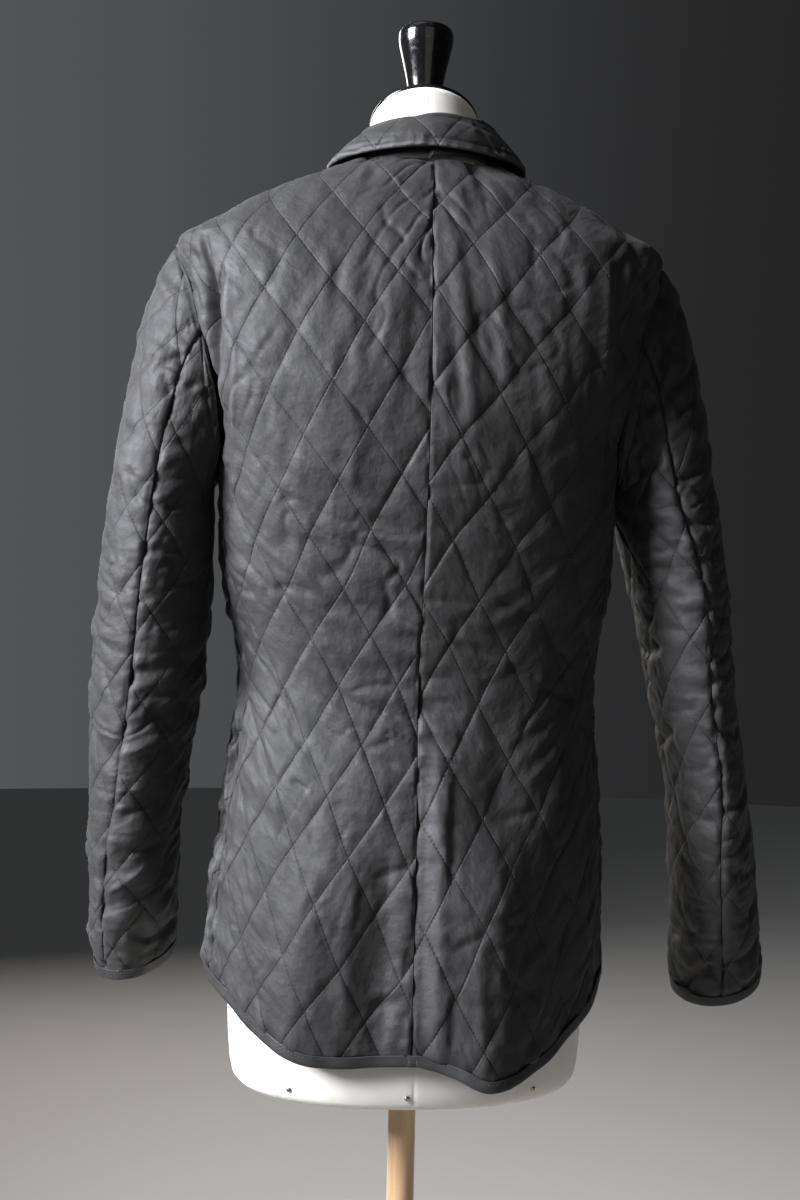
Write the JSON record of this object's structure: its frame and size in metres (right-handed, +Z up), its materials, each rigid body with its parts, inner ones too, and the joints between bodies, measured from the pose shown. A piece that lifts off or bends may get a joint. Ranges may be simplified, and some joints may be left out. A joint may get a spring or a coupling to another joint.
{
  "type": "quilted jacket on a dress form",
  "caption": "Hip-length diamond-quilted jacket with a turned-down collar, fastened on a limbless dress form with a slanted neck cap, a flared knob, a round pole and a round base.",
  "frame": {"origin": "on the floor, under the middle of the base", "axes": "+Z up, -Y the way the jacket's front faces, +X towards the wearer's left"},
  "size_m": [0.572, 0.36, 1.493],
  "materials": {
    "quilted_cloth": "charcoal-black nylon with a soft sheen, diamond-quilted",
    "binding_cloth": "black bias-cut nylon binding",
    "snap_metal": "black oxide press stud",
    "form_jersey": "off-white stretched jersey",
    "black_lacquer": "gloss black lacquer",
    "beech": "clear-varnished beech",
    "pin_steel": "bright pin head"
  },
  "bodies": {
    "root": {"back_left": "quilted_cloth", "back_right": "quilted_cloth", "front_left": "quilted_cloth", "front_right": "quilted_cloth", "sleeve_upper_left": "quilted_cloth", "sleeve_upper_right": "quilted_cloth", "sleeve_under_left": "quilted_cloth", "sleeve_under_right": "quilted_cloth", "collar_stand": "quilted_cloth", "collar_fall": "quilted_cloth", "hem_binding": "binding_cloth", "cuff_binding_left": "binding_cloth", "cuff_binding_right": "binding_cloth", "snap_1": "snap_metal", "snap_2": "snap_metal", "snap_3": "snap_metal", "snap_4": "snap_metal", "snap_5": "snap_metal", "form_torso": "form_jersey", "form_neck_cap": "black_lacquer", "form_knob": "black_lacquer", "form_pin_1": "pin_steel", "form_pin_2": "pin_steel", "form_pin_3": "pin_steel", "form_pin_4": "pin_steel", "form_pin_5": "pin_steel", "form_pin_6": "pin_steel", "form_pole": "beech", "form_base": "beech"}
  },
  "joints": []
}
